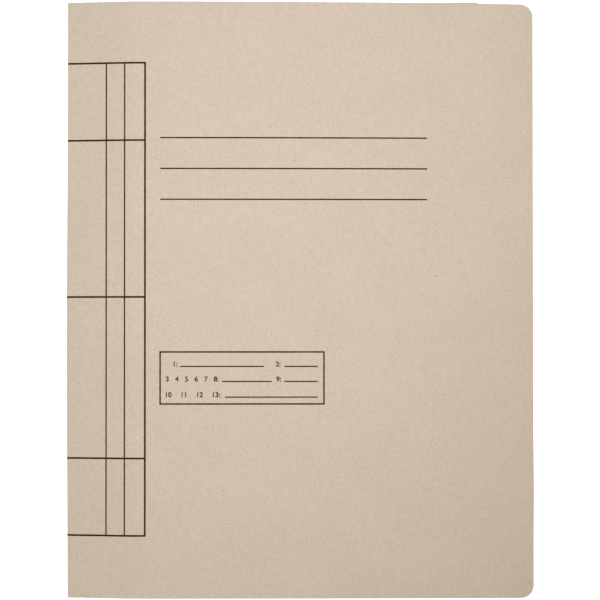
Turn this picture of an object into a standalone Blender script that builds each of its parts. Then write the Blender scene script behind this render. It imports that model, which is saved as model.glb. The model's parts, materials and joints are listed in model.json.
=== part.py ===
# A manila board file folder with a prong fastener.
# It lies closed on its back cover, with the spine at -X and the top edge at +Y.
# The origin is under the middle of the folder, on the surface that it lies on.
# Lengths are in metres, angles in degrees.

import math

import bmesh
import bpy
from mathutils import Vector

# Board
BOARD = 0.0004
COVER_WIDTH = 0.2389  # from the spine creases to the fore edge, seen from above
COVER_HEIGHT = 0.305
BACK_REACH = 0.0005  # how far the back cover reaches past the front cover at top and bottom
BACK_TAPER = 0.030  # the back cover grows to its full height over this length
CORNER_RADIUS = 0.006
TOP_TRIM = 0.0010  # how far the back cover's top edge is cut back at its fore corner
TOP_TRIM_WIDTH = 0.0285  # how much of the top edge is cut back, counted from the fore edge
TOP_TRIM_SLOPE = 0.006
FORE_EDGE_SAG = 0.0004  # the front cover hangs this much towards the bottom at its fore edge
FORE_EDGE_GAP = 0.0003  # between the two covers at the fore edge

# Spine and creases
SPINE_BULGE = 0.0005  # how far the spine stands out past its creases at the middle of the folder's height
SPINE_END_BULGE = -0.0001  # the same at the top and bottom edges, where it is drawn in a little
CREASE_CLEARANCE = 0.00035  # from a spine crease to the panels that meet there
MARGIN_WIDTH = 0.033  # from the front spine crease to the soft crease
MARGIN_ANGLE = 10.0
SOFT_CREASE_CLEARANCE = 0.00025

# Bow of the front cover, as the heights that pull its curve at a third and at two thirds of its width
BOW_NEAR_RISE = 0.00015  # over the soft crease
BOW_FAR_RISE = 0.0042  # over the fore edge

# Fastener
GAP = 0.0003  # between pieces of the fastener that touch
FASTENER_INSET = 0.022  # from the spine creases to the line of the prongs
PRONG_SPACING = 0.080
TINPLATE = 0.0003
PRONG_WIDTH = 0.0048
PRONG_FOLD = 0.0275  # length of each tongue that lies folded over the bar
PRONG_TIP_CUT = 0.0014
PRONG_BASE_WIDTH = 0.009
PRONG_NECK = 0.003  # length over which the base narrows to a tongue
BEND_RADIUS = 0.00045

STRIP_OVERHANG = 0.040  # how far the filing strip reaches past each prong
STRIP_WIDTH = 0.032
STRIP_CORNER = 0.003
RIB_MARGIN = 0.0005  # from the prongs' base to the slope of the rib above it
RIB_SLOPE = 0.0012

EYELET_WALL = 0.00025
EYELET_FLANGE = 0.0017  # how far the flange reaches past the barrel

BAR_OVERHANG = 0.0175  # how far the bar reaches past each prong
BAR_WIDTH = 0.013
BAR_RIM = 0.0009
SLOT_CLEARANCE = 0.0004

SLIDER_LENGTH = 0.010
SLIDER_INSET = 0.018  # from a prong to the middle of the slider that locks it
SLIDER_LIP = 0.0013
COVER_CLEARANCE = 0.0005  # from the sliders to the cover above them

# Fineness of the round shapes
CORNER_STEPS = 5
BEND_STEPS = 3
BOW_STEPS = 18
SPINE_STEPS = 12
SPINE_ARC_STEPS = 4
ROUND_STEPS = 28

# Places that follow from the sizes
LEFT_EDGE = -(COVER_WIDTH + SPINE_BULGE + BOARD / 2) / 2
SPINE_X = LEFT_EDGE + BOARD / 2 + SPINE_BULGE
FORE_X = SPINE_X + COVER_WIDTH
FASTENER_X = SPINE_X + FASTENER_INSET
PRONG_Y = PRONG_SPACING / 2
STRIP_HALF_LENGTH = PRONG_Y + STRIP_OVERHANG
BAR_HALF_LENGTH = PRONG_Y + BAR_OVERHANG

BACK_Z = BOARD / 2
STRIP_Z = BOARD + GAP + BOARD / 2
PRONG_BASE_Z = BOARD + GAP + TINPLATE / 2
RIB_Z = PRONG_BASE_Z + TINPLATE / 2 + GAP + BOARD / 2
FLANGE_Z = RIB_Z + BOARD / 2 + GAP
BAR_Z = FLANGE_Z + EYELET_WALL + GAP + TINPLATE / 2
TONGUE_Z = BAR_Z + TINPLATE + GAP
SLIDER_Z = BAR_Z + max(BAR_RIM, TONGUE_Z + TINPLATE / 2 - BAR_Z) + GAP + TINPLATE / 2
SLIDER_LIP_Z = BAR_Z - TINPLATE - GAP
SLIDER_HALF_WIDTH = BAR_WIDTH / 2 + GAP + TINPLATE / 2

SLOPE = math.radians(MARGIN_ANGLE)
# The cover's underside passes COVER_CLEARANCE over the edge of the sliders that is nearer to the spine.
SLIDER_EDGE = FASTENER_INSET - SLIDER_HALF_WIDTH - TINPLATE / 2
COVER_CREASE_Z = (
    SLIDER_Z
    + TINPLATE / 2
    + COVER_CLEARANCE
    + BOARD / 2 / math.cos(SLOPE)
    - SLIDER_EDGE * math.tan(SLOPE)
)
SOFT_CREASE_X = SPINE_X + MARGIN_WIDTH * math.cos(SLOPE)
SOFT_CREASE_Z = COVER_CREASE_Z + MARGIN_WIDTH * math.sin(SLOPE)
FORE_EDGE_Z = BOARD + FORE_EDGE_GAP + BOARD / 2


def clear_scene():
    for old in list(bpy.data.objects):
        bpy.data.objects.remove(old, do_unlink=True)


def new_collection(name):
    collection = bpy.data.collections.new(name)
    bpy.context.scene.collection.children.link(collection)
    return collection


def finish(name, colour, roughness, metallic):
    material = bpy.data.materials.new(name)
    material.use_nodes = True
    shader = material.node_tree.nodes["Principled BSDF"]
    shader.inputs["Base Color"].default_value = (*colour, 1.0)
    shader.inputs["Roughness"].default_value = roughness
    shader.inputs["Metallic"].default_value = metallic
    return material


def pivot(name, place, collection, parent=None):
    """An empty on a crease or a slide line. What moves there is its child."""
    empty = bpy.data.objects.new(name, None)
    empty.empty_display_size = BAR_WIDTH
    empty.parent = parent
    empty.location = Vector(place) - place_of(parent)
    collection.objects.link(empty)
    return empty


def place_of(pivot_object):
    """Where a pivot is in the folder's frame."""
    if pivot_object is None:
        return Vector((0, 0, 0))
    return pivot_object.location + place_of(pivot_object.parent)


def sheet_mesh(name, rows, centre):
    """A surface through rows of points, with its origin at centre."""
    bm = bmesh.new()
    bmesh.ops.create_grid(bm, x_segments=len(rows[0]) - 1, y_segments=len(rows) - 1, size=1)
    points = [point for row in rows for point in row]
    for vertex, point in zip(bm.verts, points):
        vertex.co = Vector(point) - centre
    mesh = bpy.data.meshes.new(name)
    bm.to_mesh(mesh)
    bm.free()
    return mesh


def sheet(name, rows, thickness, material, collection, parent=None):
    """A piece of sheet whose middle surface passes through rows of points."""
    mesh = sheet_mesh(name, rows, place_of(parent))
    mesh.materials.append(material)
    piece = bpy.data.objects.new(name, mesh)
    piece.parent = parent
    thicken = piece.modifiers.new("Thickness", "SOLIDIFY")
    thicken.thickness = thickness
    thicken.offset = 0.0
    thicken.use_even_offset = True
    collection.objects.link(piece)
    return piece


def bend_points(before, corner, after, radius):
    """Points on the arc that rounds a corner of a folded strip."""
    before, corner, after = Vector(before), Vector(corner), Vector(after)
    to_before = (before - corner).normalized()
    to_after = (after - corner).normalized()
    half_angle = to_before.angle(to_after) / 2
    centre = corner + (to_before + to_after).normalized() * radius / math.sin(half_angle)
    start = corner + to_before * radius / math.tan(half_angle) - centre
    end = corner + to_after * radius / math.tan(half_angle) - centre
    turn = start.angle(end)
    points = []
    for step in range(BEND_STEPS + 1):
        share = step / BEND_STEPS
        weights = (math.sin((1 - share) * turn), math.sin(share * turn))
        points.append(centre + (start * weights[0] + end * weights[1]) / math.sin(turn))
    return points


def folded_rows(stations, along, across):
    """Rows for a strip that is bent in one plane. A station is (place along, height, half width, bend radius)."""
    spots = [along * place + Vector((0, 0, height)) for place, height, _, _ in stations]
    rows = []
    for index, (_, _, half_width, radius) in enumerate(stations):
        passed = [spots[index]]
        if radius > 0:
            passed = bend_points(spots[index - 1], spots[index], spots[index + 1], radius)
        rows.extend([spot - across * half_width, spot + across * half_width] for spot in passed)
    return rows


def corner_inset(from_edge, radius):
    """How far a rounded corner draws a side in, at this distance from the edge that it leads to."""
    reach = max(0.0, radius - from_edge)
    return radius - math.sqrt(radius**2 - reach**2)


def corner_places(radius):
    """Distances from an edge at which a rounded corner is cut into steps, ending on the edge."""
    angles = [math.pi / 2 * step / CORNER_STEPS for step in range(CORNER_STEPS + 1)]
    return [radius * (1 - math.sin(angle)) for angle in angles]


def ease(share):
    share = min(1.0, max(0.0, share))
    return share * share * (3 - 2 * share)


def back_cover_edges(x):
    """The bottom and top edges of the back cover at x."""
    from_fore = FORE_X - x
    grown = min(1.0, (x - SPINE_X) / BACK_TAPER)
    half = COVER_HEIGHT / 2 + BACK_REACH * grown
    trimmed = TOP_TRIM * ease((TOP_TRIM_WIDTH + TOP_TRIM_SLOPE / 2 - from_fore) / TOP_TRIM_SLOPE)
    inset = corner_inset(from_fore, CORNER_RADIUS)
    return -half + inset, half - trimmed - inset


def back_cover(board, collection):
    trim_middle = FORE_X - TOP_TRIM_WIDTH
    stations = [SPINE_X + CREASE_CLEARANCE, SPINE_X + BACK_TAPER]
    stations += [trim_middle + TOP_TRIM_SLOPE * (step / 4 - 0.5) for step in range(5)]
    stations += [FORE_X - distance for distance in corner_places(CORNER_RADIUS)]
    rows = [[(x, y, BACK_Z) for y in back_cover_edges(x)] for x in stations]
    return sheet("back_cover", rows, BOARD, board, collection)


def spine(board, collection, crease):
    """The narrow panel between the two spine creases, a shallow arc that stands out most at mid height."""
    depth = COVER_CREASE_Z - BACK_Z
    low = CREASE_CLEARANCE / depth
    rows = []
    for arc_step in range(SPINE_ARC_STEPS + 1):
        share = low + (1 - 2 * low) * arc_step / SPINE_ARC_STEPS
        row = []
        for step in range(SPINE_STEPS + 1):
            across = 2 * step / SPINE_STEPS - 1
            bulge = SPINE_BULGE + (SPINE_END_BULGE - SPINE_BULGE) * across**2
            x = SPINE_X - bulge * 4 * share * (1 - share)
            row.append((x, across * COVER_HEIGHT / 2, BACK_Z + depth * share))
        rows.append(row)
    return sheet("spine", rows, BOARD, board, collection, crease)


def cover_margin(board, collection, crease):
    rows = []
    for along in (CREASE_CLEARANCE, MARGIN_WIDTH - SOFT_CREASE_CLEARANCE):
        x = SPINE_X + along * math.cos(SLOPE)
        z = COVER_CREASE_Z + along * math.sin(SLOPE)
        rows.append([(x, side * COVER_HEIGHT / 2, z) for side in (-1, 1)])
    return sheet("cover_margin", rows, BOARD, board, collection, crease)


def bow_height(share):
    """Height of the front cover's middle surface, from the soft crease (0) to the fore edge (1)."""
    near = SOFT_CREASE_Z + BOW_NEAR_RISE
    far = FORE_EDGE_Z + BOW_FAR_RISE
    rest = 1 - share
    pulled = 3 * rest**2 * share * near + 3 * rest * share**2 * far
    return rest**3 * SOFT_CREASE_Z + pulled + share**3 * FORE_EDGE_Z


def front_cover(board, collection, crease):
    width = FORE_X - SOFT_CREASE_X
    bowed = width - CORNER_RADIUS - SOFT_CREASE_CLEARANCE
    stations = [SOFT_CREASE_CLEARANCE + bowed * step / BOW_STEPS for step in range(BOW_STEPS)]
    stations += [width - distance for distance in corner_places(CORNER_RADIUS)]
    rows = []
    for along in stations:
        inset = corner_inset(width - along, CORNER_RADIUS)
        half = COVER_HEIGHT / 2 - inset
        sag = FORE_EDGE_SAG * (along / width) ** 2
        z = bow_height(along / width)
        rows.append([(SOFT_CREASE_X + along, side * half - sag, z) for side in (-1, 1)])
    return sheet("front_cover", rows, BOARD, board, collection, crease)


def box_cutter(name, size, place, collection):
    bm = bmesh.new()
    bmesh.ops.create_cube(bm, size=1)
    bmesh.ops.scale(bm, vec=size, verts=bm.verts)
    return cutter(name, bm, place, collection)


def round_cutter(name, radius, depth, place, collection):
    bm = bmesh.new()
    bmesh.ops.create_cone(
        bm, cap_ends=True, segments=ROUND_STEPS, radius1=radius, radius2=radius, depth=depth
    )
    return cutter(name, bm, place, collection)


def cutter(name, bm, place, collection):
    mesh = bpy.data.meshes.new(name)
    bm.to_mesh(mesh)
    bm.free()
    tool = bpy.data.objects.new(name, mesh)
    tool.location = place
    tool.hide_render = True
    tool.display_type = "WIRE"
    collection.objects.link(tool)
    return tool


def cut(piece, tool):
    hole = piece.modifiers.new(tool.name, "BOOLEAN")
    hole.operation = "DIFFERENCE"
    hole.object = tool


def filing_strip(board, collection, cutters):
    """The board strip over the prongs' base, with a rib that makes room for the base, and two holes."""
    rib_top = PRONG_BASE_WIDTH / 2 + RIB_MARGIN
    rib_foot = rib_top + RIB_SLOPE
    edge = STRIP_WIDTH / 2
    outer = [
        (edge - distance, STRIP_Z, STRIP_HALF_LENGTH - corner_inset(distance, STRIP_CORNER), 0)
        for distance in corner_places(STRIP_CORNER)
    ]
    middle = [(rib_top, RIB_Z, STRIP_HALF_LENGTH, 0), (rib_foot, STRIP_Z, STRIP_HALF_LENGTH, 0)]
    half = middle + outer
    other_half = [(-place, height, width, bend) for place, height, width, bend in reversed(half)]
    rows = folded_rows(other_half + half, Vector((1, 0, 0)), Vector((0, 1, 0)))
    rows = [[spot + Vector((FASTENER_X, 0, 0)) for spot in row] for row in rows]
    piece = sheet("filing_strip", rows, BOARD, board, collection)
    for side, y in (("top", PRONG_Y), ("bottom", -PRONG_Y)):
        radius = eyelet_radius() + EYELET_WALL + GAP
        cut(piece, round_cutter(f"strip_hole_{side}", radius, 4 * BOARD, (FASTENER_X, y, RIB_Z), cutters))
    return piece


def prong_strip(tin, collection):
    """Base and tongues in one strip: up through the eyelets and the bar, then folded inwards over the bar."""
    tip = PRONG_Y - PRONG_FOLD
    half = PRONG_WIDTH / 2
    base_half = PRONG_BASE_WIDTH / 2
    neck = PRONG_Y - 2 * PRONG_NECK
    side = [
        (neck, PRONG_BASE_Z, base_half, 0),
        (neck + PRONG_NECK, PRONG_BASE_Z, half, 0),
        (PRONG_Y, PRONG_BASE_Z, half, BEND_RADIUS),
        (PRONG_Y, TONGUE_Z, half, BEND_RADIUS),
        (tip + PRONG_TIP_CUT, TONGUE_Z, half, 0),
        (tip, TONGUE_Z, half - PRONG_TIP_CUT, 0),
    ]
    other_side = [(-place, height, width, bend) for place, height, width, bend in reversed(side)]
    rows = folded_rows(other_side + side, Vector((0, 1, 0)), Vector((1, 0, 0)))
    rows = [[spot + Vector((FASTENER_X, 0, 0)) for spot in row] for row in rows]
    return sheet("prong_strip", rows, TINPLATE, tin, collection)


def eyelet_radius():
    """The inner radius of an eyelet, which lets a tongue through."""
    return math.hypot(PRONG_WIDTH / 2, TINPLATE / 2) + GAP


def eyelets(brass, collection):
    """Two turned eyelets that share one mesh. Each one's barrel lies in the strip, its flange on the rib."""
    inner = eyelet_radius()
    outer = inner + EYELET_WALL
    foot = -(FLANGE_Z - PRONG_BASE_Z - TINPLATE / 2 - GAP)
    profile = [
        (inner, EYELET_WALL),
        (outer + EYELET_FLANGE, EYELET_WALL),
        (outer + EYELET_FLANGE, 0),
        (outer, 0),
        (outer, foot),
        (inner, foot),
    ]
    bm = bmesh.new()
    corners = [bm.verts.new((radius, 0, height)) for radius, height in profile]
    for index, corner in enumerate(corners):
        bm.edges.new((corner, corners[(index + 1) % len(corners)]))
    mesh = bpy.data.meshes.new("eyelet")
    bm.to_mesh(mesh)
    bm.free()
    mesh.materials.append(brass)
    for name, y in (("eyelet_top", PRONG_Y), ("eyelet_bottom", -PRONG_Y)):
        eyelet = bpy.data.objects.new(name, mesh)
        eyelet.location = (FASTENER_X, y, FLANGE_Z)
        turn = eyelet.modifiers.new("Turn", "SCREW")
        turn.steps = ROUND_STEPS
        turn.render_steps = ROUND_STEPS
        turn.use_merge_vertices = True
        turn.merge_threshold = 0.00001
        collection.objects.link(eyelet)


def compressor_bar(steel, collection, cutters):
    """A shallow channel that lies over the sheets, with a slot for each tongue."""
    edge = BAR_WIDTH / 2 - TINPLATE / 2
    stations = [
        (-edge, BAR_Z + BAR_RIM, BAR_HALF_LENGTH, 0),
        (-edge, BAR_Z, BAR_HALF_LENGTH, BEND_RADIUS),
        (edge, BAR_Z, BAR_HALF_LENGTH, BEND_RADIUS),
        (edge, BAR_Z + BAR_RIM, BAR_HALF_LENGTH, 0),
    ]
    rows = folded_rows(stations, Vector((1, 0, 0)), Vector((0, 1, 0)))
    rows = [[spot + Vector((FASTENER_X, 0, 0)) for spot in row] for row in rows]
    piece = sheet("compressor_bar", rows, TINPLATE, steel, collection)
    slot = (PRONG_WIDTH + 2 * SLOT_CLEARANCE, TINPLATE + 2 * SLOT_CLEARANCE, 4 * TINPLATE)
    for side, y in (("top", PRONG_Y), ("bottom", -PRONG_Y)):
        cut(piece, box_cutter(f"bar_slot_{side}", slot, (FASTENER_X, y, BAR_Z), cutters))
    return piece


def sliders(steel, collection):
    """Two clips that wrap the bar's edges and hold the folded tongues down."""
    half = SLIDER_LENGTH / 2
    edge = SLIDER_HALF_WIDTH
    stations = [
        (-edge + SLIDER_LIP, SLIDER_LIP_Z, half, 0),
        (-edge, SLIDER_LIP_Z, half, BEND_RADIUS),
        (-edge, SLIDER_Z, half, BEND_RADIUS),
        (edge, SLIDER_Z, half, BEND_RADIUS),
        (edge, SLIDER_LIP_Z, half, BEND_RADIUS),
        (edge - SLIDER_LIP, SLIDER_LIP_Z, half, 0),
    ]
    for name, y in (("slider_top", PRONG_Y - SLIDER_INSET), ("slider_bottom", SLIDER_INSET - PRONG_Y)):
        slide = pivot(f"{name}_slide", (FASTENER_X, y, BAR_Z), collection)
        rows = folded_rows(stations, Vector((1, 0, 0)), Vector((0, 1, 0)))
        rows = [[spot + Vector((FASTENER_X, y, 0)) for spot in row] for row in rows]
        sheet(name, rows, TINPLATE, steel, collection, slide)


def main():
    clear_scene()
    pieces = new_collection("file_folder")
    cutters = new_collection("file_folder_cutters")
    board = finish("manila_board", (0.66, 0.55, 0.44), 0.85, 0.0)
    tin = finish("tinplate", (0.72, 0.72, 0.70), 0.32, 1.0)
    steel = finish("plated_steel", (0.62, 0.63, 0.64), 0.38, 1.0)
    brass = finish("brass", (0.75, 0.58, 0.30), 0.30, 1.0)

    spine_crease = pivot("spine_crease", (SPINE_X, 0, BACK_Z), pieces)
    cover_crease = pivot("cover_crease", (SPINE_X, 0, COVER_CREASE_Z), pieces, spine_crease)
    soft_crease = pivot("soft_crease", (SOFT_CREASE_X, 0, SOFT_CREASE_Z), pieces, cover_crease)

    back_cover(board, pieces)
    spine(board, pieces, spine_crease)
    cover_margin(board, pieces, cover_crease)
    front_cover(board, pieces, soft_crease)
    filing_strip(board, pieces, cutters)
    prong_strip(tin, pieces)
    eyelets(brass, pieces)
    compressor_bar(steel, pieces, cutters)
    sliders(steel, pieces)


if __name__ == "__main__":
    main()
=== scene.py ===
# The looks of a manila board file folder with a prong fastener, built round its packed CAD model.
# Lengths are in metres in the CAD model's frame: +Z up, the spine at -X, the folder's top edge at +Y.

import json
import math

import bmesh
import bpy
from bpy.props import FloatProperty, FloatVectorProperty, PointerProperty
from bpy.types import Operator, Panel, PropertyGroup
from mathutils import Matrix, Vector, noise


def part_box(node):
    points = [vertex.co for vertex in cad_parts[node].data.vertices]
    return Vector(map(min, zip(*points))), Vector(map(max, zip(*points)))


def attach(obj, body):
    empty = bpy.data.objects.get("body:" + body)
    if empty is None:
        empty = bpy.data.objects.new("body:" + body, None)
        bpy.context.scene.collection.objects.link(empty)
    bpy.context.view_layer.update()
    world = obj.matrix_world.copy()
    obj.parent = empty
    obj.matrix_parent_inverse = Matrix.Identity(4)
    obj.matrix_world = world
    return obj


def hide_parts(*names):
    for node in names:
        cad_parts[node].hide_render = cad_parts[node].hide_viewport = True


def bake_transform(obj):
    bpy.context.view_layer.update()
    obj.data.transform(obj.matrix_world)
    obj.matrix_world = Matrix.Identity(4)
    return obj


bl_info = {
    "name": "Manila File Folder",
    "version": (1, 0, 0),
    "blender": (4, 5, 0),
    "location": "3D View > Sidebar > File Folder",
    "description": "Builds the board, print, fastener and studio stage of a file folder round its CAD model",
    "category": "Object",
}

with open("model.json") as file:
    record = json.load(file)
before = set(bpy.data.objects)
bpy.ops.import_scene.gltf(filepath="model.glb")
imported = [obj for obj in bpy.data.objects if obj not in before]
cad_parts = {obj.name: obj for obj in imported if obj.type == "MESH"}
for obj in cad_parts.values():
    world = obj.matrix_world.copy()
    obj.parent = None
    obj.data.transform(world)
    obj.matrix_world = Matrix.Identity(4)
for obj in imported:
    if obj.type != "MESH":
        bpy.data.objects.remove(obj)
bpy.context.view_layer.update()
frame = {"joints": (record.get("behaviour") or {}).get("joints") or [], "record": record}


def joint_place(name):
    for joint in frame["joints"]:
        if joint["name"] == name:
            return Vector(joint["pos_m"])
    raise ValueError(f"the frame has no joint named {name}")


def slot_colour(slot):
    for material in frame["record"]["materials"]:
        if material["slot"] == slot:
            return material["base_color"]
    raise ValueError(f"the record has no material slot named {slot}")


def box_middle(node):
    low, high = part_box(node)
    return (low + high) / 2


# Places and sizes read from the CAD model
BACK_CREASE = joint_place("spine_fold")
COVER_CREASE = joint_place("cover_fold")
SOFT_CREASE = joint_place("soft_crease_fold")
BACK_LOW, BACK_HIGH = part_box("back_cover")
FRONT_LOW, FRONT_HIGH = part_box("front_cover")
BOARD = BACK_HIGH.z - BACK_LOW.z
FORE_X = BACK_HIGH.x
FORE_EDGE_Z = FRONT_LOW.z + BOARD / 2
FASTENER_X = box_middle("compressor_bar").x
PRONG_Y = box_middle("eyelet_top").y

# The fastener's sheet metal, half the length that a bend in it takes, and the radii of cut edges
TINPLATE = 0.0003
TIN_BEND = 0.00045
TIN_ROUNDING = 0.00005
BOARD_ROUNDING = 0.00006

# How finely shapes are cut
NORMAL_STEP = 0.00001
RIM_ANGLES = (math.radians(45), math.radians(90))
SHARP_ANGLE = math.radians(50)
EDGE_DISTANCES = (0.0, 0.0002, 0.0012, 0.004)
CORNER_STEPS = 9
SMALL_CORNER_STEPS = 6
TURNED_STEPS = 64

# The flat pattern and the marks by the edges, which the materials use
INNER_FACE_SHIFT = 0.31
WEAR_REACH = 0.0015
FAR_AWAY = 1.0

# From one node to the next in the node editor
NODE_SPACING = 200


# User settings


def number(name, description, default, **kind):
    return FloatProperty(name=name, description=description, default=default, **kind)


def length(name, description, default):
    return number(name, description, default, unit="LENGTH", precision=5)


def share(name, description, default):
    return number(name, description, default, min=0.0, max=1.0, subtype="FACTOR")


def angle(name, description, degrees):
    return number(name, description, math.radians(degrees), subtype="ANGLE")


def colour(name, description, default):
    return FloatVectorProperty(
        name=name, description=description, default=default, size=3, min=0.0, max=1.0, subtype="COLOR"
    )


class FOLDER_PG_board(PropertyGroup):
    """Shape and finish of the board."""

    board_colour: colour("Board", "Colour of the board's faces", slot_colour("manila_board"))
    cut_colour: colour("Cut edge", "Colour of the board's cut edges", (0.50, 0.42, 0.34))
    dark_fleck: colour("Dark flecks", "Colour of dark specks in the board", (0.20, 0.15, 0.11))
    light_fleck: colour("Light flecks", "Colour of pale specks in the board", (0.82, 0.74, 0.62))
    mottle: share("Mottle", "How strongly the board's tone varies", 0.5)
    roughness: share("Roughness", "Roughness of the board", 0.88)
    corner_radius: length("Corner radius", "Radius of the covers' fore corners", 0.0065)
    crease_radius: length("Crease radius", "Half the length that a spine crease is rounded over", 0.0006)
    soft_crease_radius: length("Soft crease radius", "Half the length that the soft crease takes", 0.003)
    spine_bulge: length("Spine bulge", "How far the spine swells out where it swells most", 0.00064)
    bulge_centre: length("Bulge centre", "Height at which the spine swells most", -0.027)
    bulge_reach: length("Bulge reach", "From the middle of the swell to where it ends", 0.140)
    spine_slant: length("Spine slant", "Half the difference in swell from its foot to its top", 0.0001)
    fore_slant: length("Fore slant", "How far the fore edge draws in at its top", 0.00033)
    fore_swell: length("Fore swell", "How far the fore edge stands out where it stands out most", 0.0002)
    fore_swell_centre: length("Fore swell centre", "Height at which the fore edge stands out most", -0.097)
    fore_swell_reach: length("Fore swell reach", "From the middle of that swell to where it ends", 0.030)
    bow_near_rise: length("Bow by the crease", "Height that pulls the bow up by the soft crease", 0.00015)
    bow_far_rise: length("Bow by the fore edge", "Height that pulls the bow up by the fore edge", 0.0042)
    sag: length("Sag", "How far the cover hangs towards the bottom at its fore edge", 0.0004)
    corner_drop: length("Corner drop", "How far the cover's top edge falls away by the fore corner", 0.0003)
    back_reach: length("Back reach", "How far the back cover passes the front one, top and bottom", 0.0003)
    taper: length("Taper", "Length over which the back cover grows to its full height", 0.030)
    trim: length("Trim", "How far the back cover's top edge is cut back at the fore corner", 0.0010)
    trim_width: length("Trim width", "How much of the top edge is cut back", 0.0268)
    trim_slope: length("Trim slope", "Length over which the trim begins", 0.006)
    wave: length("Wave", "Height of the slight swells in the cover", 0.00008)
    wave_length: length("Wave length", "Size of the swells", 0.09)


class FOLDER_PG_print(PropertyGroup):
    """Print on the outside of the board."""

    ink: colour("Ink", "Colour of the ink", (0.030, 0.013, 0.004))
    film: length("Film", "Thickness of the ink", 0.00002)
    heavy_line: length("Heavy line", "Width of the frame lines", 0.00094)
    fine_line: length("Fine line", "Width of the rules and columns", 0.00071)
    frame_top: length("Frame top", "Height of the ruled frame's top line", 0.1211)
    frame_bottom: length("Frame bottom", "Height of the ruled frame's bottom line", -0.1205)
    frame_width: length("Frame width", "From the spine's front crease to the frame's side", 0.04033)
    first_column: length("First column", "From the spine's front crease to the first column line", 0.0202)
    second_column: length("Second column", "From the spine's front crease to the next column line", 0.02984)
    back_reach: length("Reach on the back", "How far the frame reaches on to the back cover", 0.008)
    upper_row: length("Upper row", "Height of the line under the frame's top", 0.08155)
    middle_row: length("Middle row", "Height of the line by the middle", 0.0014)
    lower_row: length("Lower row", "Height of the line over the frame's bottom", -0.08106)
    rule_left: length("Rules' left end", "X of the writing rules' left ends", -0.0715)
    rule_right: length("Rules' right end", "X of the writing rules' right ends", 0.0652)
    rule_top: length("Top rule", "Height of the highest writing rule", 0.0828)
    rule_pitch: length("Rule pitch", "From one writing rule to the next", 0.01575)
    form_width: length("Form width", "Width of the small form's box", 0.0837)
    form_top: length("Form top", "Height of the small form's top line", -0.0267)
    form_height: length("Form height", "Height of the small form's box", 0.02655)
    number_height: length("Number height", "Height of the numbers in the form", 0.0026)


class FOLDER_PG_fastener(PropertyGroup):
    """Finish and small shapes of the fastener."""

    tinplate: colour("Tinplate", "Colour of the prong strip", slot_colour("tinplate"))
    steel: colour("Plated steel", "Colour of the bar and sliders", slot_colour("plated_steel"))
    brass: colour("Brass", "Colour of the eyelets", slot_colour("brass"))
    bead_height: length("Bead height", "Height of the bar's two pressed beads", 0.00022)
    grip_height: length("Grip height", "Height of the ridges on the sliders", 0.0002)
    tongue_rib: length("Tongue rib", "Height of the rib along each tongue", 0.00012)
    prong_fold: length("Prong fold", "Length of each tongue that lies over the bar", 0.0275)
    prong_width: length("Prong width", "Width of the tongues", 0.0048)


class FOLDER_PG_stage(PropertyGroup):
    """Camera, lights and floor."""

    camera_lens: number("Lens", "Focal length on a sensor 36 mm wide", 141.13, unit="CAMERA")
    camera_distance: length("Camera distance", "From the camera to the place that it faces", 1.209)
    camera_tilt: angle("Tilt", "How far the camera leans towards the bottom edge", 0.6)
    camera_roll: angle("Roll", "How far the camera is turned", 0.0)
    aim_x: length("Aim X", "X of the place in the middle of the picture", -0.00011)
    aim_y: length("Aim Y", "Y of the place in the middle of the picture", -0.00009)
    key_power: number("Key power", "Power of the soft light above", 2.395, unit="POWER")
    key_height: length("Key height", "Height of the soft light", 0.508)
    key_x: length("Key X", "X of the soft light", 0.060)
    key_y: length("Key Y", "Y of the soft light", 0.053)
    key_aim_x: length("Key aim X", "X of the place on the floor that the soft light faces", -0.6)
    key_aim_y: length("Key aim Y", "Y of the place on the floor that the soft light faces", 0.307)
    key_size: length("Key size", "Side of the soft light", 0.45)
    key_colour: colour("Key colour", "Colour of the soft light", (0.88, 0.922, 1.0))
    fill: number("Fill", "Strength of the light from all round", 0.3755)
    fill_colour: colour("Fill colour", "Colour of the light from all round", (1.0, 0.900, 0.784))
    floor_colour: colour("Floor", "Colour of the floor", (0.80, 0.80, 0.80))
    floor_glow: number("Floor glow", "Light that the floor gives off", 0.76)
    glow_colour: colour("Glow colour", "Colour of the light that the floor gives off", (0.95, 0.98, 1.0))
    floor_drop: length("Floor drop", "How far the floor lies under the folder, for the opened spine", 0.00065)
    floor_radius: length("Floor radius", "From the middle to the foot of the curved wall", 2.6)
    wall_radius: length("Wall radius", "Radius of the curve between floor and wall", 1.4)


# Bent sheets


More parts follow.
